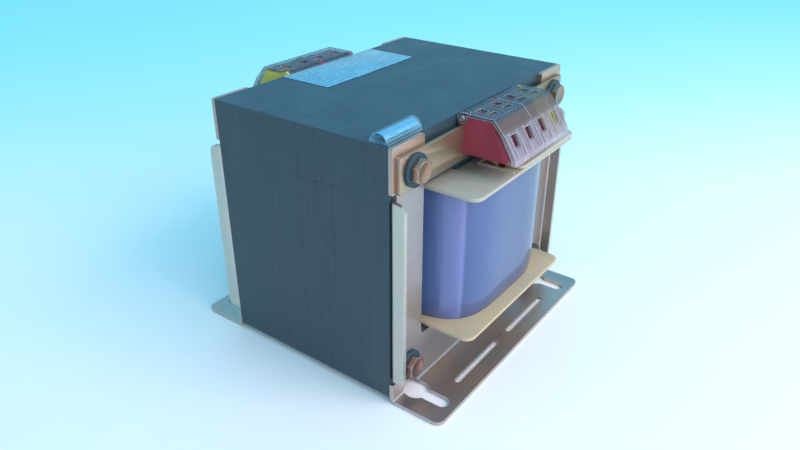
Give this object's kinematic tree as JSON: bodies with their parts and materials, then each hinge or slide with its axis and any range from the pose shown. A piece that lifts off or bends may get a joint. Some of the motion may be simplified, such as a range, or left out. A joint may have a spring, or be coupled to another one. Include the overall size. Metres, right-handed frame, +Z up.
{
  "type": "control transformer",
  "caption": "Foot-mounted open-frame control transformer: laminated EI core, one taped coil, folded sheet feet and touch-safe screw terminal blocks under hinged clear covers.",
  "frame": {"origin": "on the mounting plane, under the middle of the core", "axes": "+Z up, X along the feet, -Y towards the front terminals"},
  "size_m": [0.15, 0.1608, 0.1337],
  "materials": {
    "varnished_core": "thin black-green dip varnish over stacked electrical steel, satin",
    "bobbin_plastic": "cream glass-filled nylon, satin",
    "copper_winding": "enamelled copper wire, satin",
    "insulation_film": "layered polyester film",
    "blue_tape": "blue-violet polyester tape, gloss",
    "chromated_sheet": "zinc-plated steel sheet with an iridescent passivation, satin",
    "bright_wire": "drawn steel wire",
    "yellow_zinc_fastener": "steel, yellow to copper-pink passivated zinc",
    "fibre_washer": "dark pressed fibre, matte",
    "block_red": "crimson moulded polyamide, semi-gloss",
    "block_earth": "yellow-green moulded polyamide, semi-gloss",
    "clamp_screw_zinc": "yellow-passivated steel",
    "clamp_cage_brass": "plain brass",
    "clear_cover": "clear polycarbonate",
    "clear_marker": "clear moulded plastic",
    "label_foil": "pale printed label film",
    "marker_card": "sky-blue printed card"
  },
  "bodies": {
    "root": {"core_e_stack": "varnished_core", "core_i_stack": "varnished_core", "bobbin": "bobbin_plastic", "front_lead_plate": "bobbin_plastic", "rear_lead_plate": "bobbin_plastic", "primary_winding": "copper_winding", "secondary_winding": "copper_winding", "interwinding_insulation": "insulation_film", "outer_wrap": "blue_tape", "front_foot_bracket": "chromated_sheet", "front_terminal_rail": "chromated_sheet", "rear_foot_bracket": "chromated_sheet", "rear_terminal_rail": "chromated_sheet", "front_hinge_rod": "bright_wire", "rear_hinge_rod": "bright_wire", "core_bolt_1": "yellow_zinc_fastener", "core_bolt_2": "yellow_zinc_fastener", "core_bolt_3": "yellow_zinc_fastener", "core_bolt_4": "yellow_zinc_fastener", "core_nut_1": "yellow_zinc_fastener", "core_nut_2": "yellow_zinc_fastener", "core_nut_3": "yellow_zinc_fastener", "core_nut_4": "yellow_zinc_fastener", "front_washer_1": "fibre_washer", "front_washer_2": "fibre_washer", "front_washer_3": "fibre_washer", "front_washer_4": "fibre_washer", "rear_washer_1": "fibre_washer", "rear_washer_2": "fibre_washer", "rear_washer_3": "fibre_washer", "rear_washer_4": "fibre_washer", "front_terminal_housing": "block_red", "rear_terminal_housing": "block_red", "front_earth_housing": "block_earth", "front_end_plate": "block_earth", "rear_earth_housing": "block_earth", "rear_end_plate": "block_earth", "marker_carrier": "clear_marker", "rating_label": "label_foil"},
    "front_cover_12": {"front_cover_12": "clear_cover"},
    "front_cover_34": {"front_cover_34": "clear_cover"},
    "front_clamp_screw_1": {"front_clamp_screw_1": "clamp_screw_zinc"},
    "front_clamp_cage_1": {"front_clamp_cage_1": "clamp_cage_brass"},
    "front_clamp_screw_2": {"front_clamp_screw_2": "clamp_screw_zinc"},
    "front_clamp_cage_2": {"front_clamp_cage_2": "clamp_cage_brass"},
    "front_clamp_screw_3": {"front_clamp_screw_3": "clamp_screw_zinc"},
    "front_clamp_cage_3": {"front_clamp_cage_3": "clamp_cage_brass"},
    "front_clamp_screw_4": {"front_clamp_screw_4": "clamp_screw_zinc"},
    "front_clamp_cage_4": {"front_clamp_cage_4": "clamp_cage_brass"},
    "rear_cover_12": {"rear_cover_12": "clear_cover"},
    "rear_cover_34": {"rear_cover_34": "clear_cover"},
    "rear_clamp_screw_1": {"rear_clamp_screw_1": "clamp_screw_zinc"},
    "rear_clamp_cage_1": {"rear_clamp_cage_1": "clamp_cage_brass"},
    "rear_clamp_screw_2": {"rear_clamp_screw_2": "clamp_screw_zinc"},
    "rear_clamp_cage_2": {"rear_clamp_cage_2": "clamp_cage_brass"},
    "rear_clamp_screw_3": {"rear_clamp_screw_3": "clamp_screw_zinc"},
    "rear_clamp_cage_3": {"rear_clamp_cage_3": "clamp_cage_brass"},
    "rear_clamp_screw_4": {"rear_clamp_screw_4": "clamp_screw_zinc"},
    "rear_clamp_cage_4": {"rear_clamp_cage_4": "clamp_cage_brass"},
    "marker_insert": {"marker_insert": "marker_card"}
  },
  "joints": [
    {"name": "front_cover_12_hinge", "type": "hinge", "parent": "root", "child": "front_cover_12", "pos_m": [0, -0.053, 0.1272], "axis": [-1, 0, 0], "range_deg": [0, 100]},
    {"name": "front_cover_34_hinge", "type": "hinge", "parent": "root", "child": "front_cover_34", "pos_m": [0, -0.053, 0.1272], "axis": [-1, 0, 0], "range_deg": [0, 100]},
    {"name": "front_clamp_screw_1_turn", "type": "hinge", "parent": "root", "child": "front_clamp_screw_1", "pos_m": [-0.0189, -0.0588, 0.1273], "axis": [0, 0, -1], "range_deg": [0, 900]},
    {"name": "front_clamp_cage_1_lift", "type": "slide", "parent": "root", "child": "front_clamp_cage_1", "axis": [0, 0, 1], "range_m": [0, 0.00175]},
    {"name": "front_clamp_screw_2_turn", "type": "hinge", "parent": "root", "child": "front_clamp_screw_2", "pos_m": [-0.0063, -0.0588, 0.1273], "axis": [0, 0, -1], "range_deg": [0, 900]},
    {"name": "front_clamp_cage_2_lift", "type": "slide", "parent": "root", "child": "front_clamp_cage_2", "axis": [0, 0, 1], "range_m": [0, 0.00175]},
    {"name": "front_clamp_screw_3_turn", "type": "hinge", "parent": "root", "child": "front_clamp_screw_3", "pos_m": [0.0063, -0.0588, 0.1273], "axis": [0, 0, -1], "range_deg": [0, 900]},
    {"name": "front_clamp_cage_3_lift", "type": "slide", "parent": "root", "child": "front_clamp_cage_3", "axis": [0, 0, 1], "range_m": [0, 0.00175]},
    {"name": "front_clamp_screw_4_turn", "type": "hinge", "parent": "root", "child": "front_clamp_screw_4", "pos_m": [0.0189, -0.0588, 0.1273], "axis": [0, 0, -1], "range_deg": [0, 900]},
    {"name": "front_clamp_cage_4_lift", "type": "slide", "parent": "root", "child": "front_clamp_cage_4", "axis": [0, 0, 1], "range_m": [0, 0.00175]},
    {"name": "rear_cover_12_hinge", "type": "hinge", "parent": "root", "child": "rear_cover_12", "pos_m": [0, 0.053, 0.1272], "axis": [1, 0, 0], "range_deg": [0, 100]},
    {"name": "rear_cover_34_hinge", "type": "hinge", "parent": "root", "child": "rear_cover_34", "pos_m": [0, 0.053, 0.1272], "axis": [1, 0, 0], "range_deg": [0, 100]},
    {"name": "rear_clamp_screw_1_turn", "type": "hinge", "parent": "root", "child": "rear_clamp_screw_1", "pos_m": [0.0189, 0.0588, 0.1273], "axis": [0, 0, -1], "range_deg": [0, 900]},
    {"name": "rear_clamp_cage_1_lift", "type": "slide", "parent": "root", "child": "rear_clamp_cage_1", "axis": [0, 0, 1], "range_m": [0, 0.00175]},
    {"name": "rear_clamp_screw_2_turn", "type": "hinge", "parent": "root", "child": "rear_clamp_screw_2", "pos_m": [0.0063, 0.0588, 0.1273], "axis": [0, 0, -1], "range_deg": [0, 900]},
    {"name": "rear_clamp_cage_2_lift", "type": "slide", "parent": "root", "child": "rear_clamp_cage_2", "axis": [0, 0, 1], "range_m": [0, 0.00175]},
    {"name": "rear_clamp_screw_3_turn", "type": "hinge", "parent": "root", "child": "rear_clamp_screw_3", "pos_m": [-0.0063, 0.0588, 0.1273], "axis": [0, 0, -1], "range_deg": [0, 900]},
    {"name": "rear_clamp_cage_3_lift", "type": "slide", "parent": "root", "child": "rear_clamp_cage_3", "axis": [0, 0, 1], "range_m": [0, 0.00175]},
    {"name": "rear_clamp_screw_4_turn", "type": "hinge", "parent": "root", "child": "rear_clamp_screw_4", "pos_m": [-0.0189, 0.0588, 0.1273], "axis": [0, 0, -1], "range_deg": [0, 900]},
    {"name": "rear_clamp_cage_4_lift", "type": "slide", "parent": "root", "child": "rear_clamp_cage_4", "axis": [0, 0, 1], "range_m": [0, 0.00175]},
    {"name": "marker_insert_slide", "type": "slide", "parent": "root", "child": "marker_insert", "axis": [-1, 0, 0], "range_m": [0, 0.022]}
  ],
  "couplings": [
    {"joint": "front_clamp_screw_1_turn", "follows": "front_clamp_cage_1_lift", "rad_per_m": 8975.9},
    {"joint": "front_clamp_screw_2_turn", "follows": "front_clamp_cage_2_lift", "rad_per_m": 8975.9},
    {"joint": "front_clamp_screw_3_turn", "follows": "front_clamp_cage_3_lift", "rad_per_m": 8975.9},
    {"joint": "front_clamp_screw_4_turn", "follows": "front_clamp_cage_4_lift", "rad_per_m": 8975.9},
    {"joint": "rear_clamp_screw_1_turn", "follows": "rear_clamp_cage_1_lift", "rad_per_m": 8975.9},
    {"joint": "rear_clamp_screw_2_turn", "follows": "rear_clamp_cage_2_lift", "rad_per_m": 8975.9},
    {"joint": "rear_clamp_screw_3_turn", "follows": "rear_clamp_cage_3_lift", "rad_per_m": 8975.9},
    {"joint": "rear_clamp_screw_4_turn", "follows": "rear_clamp_cage_4_lift", "rad_per_m": 8975.9}
  ]
}
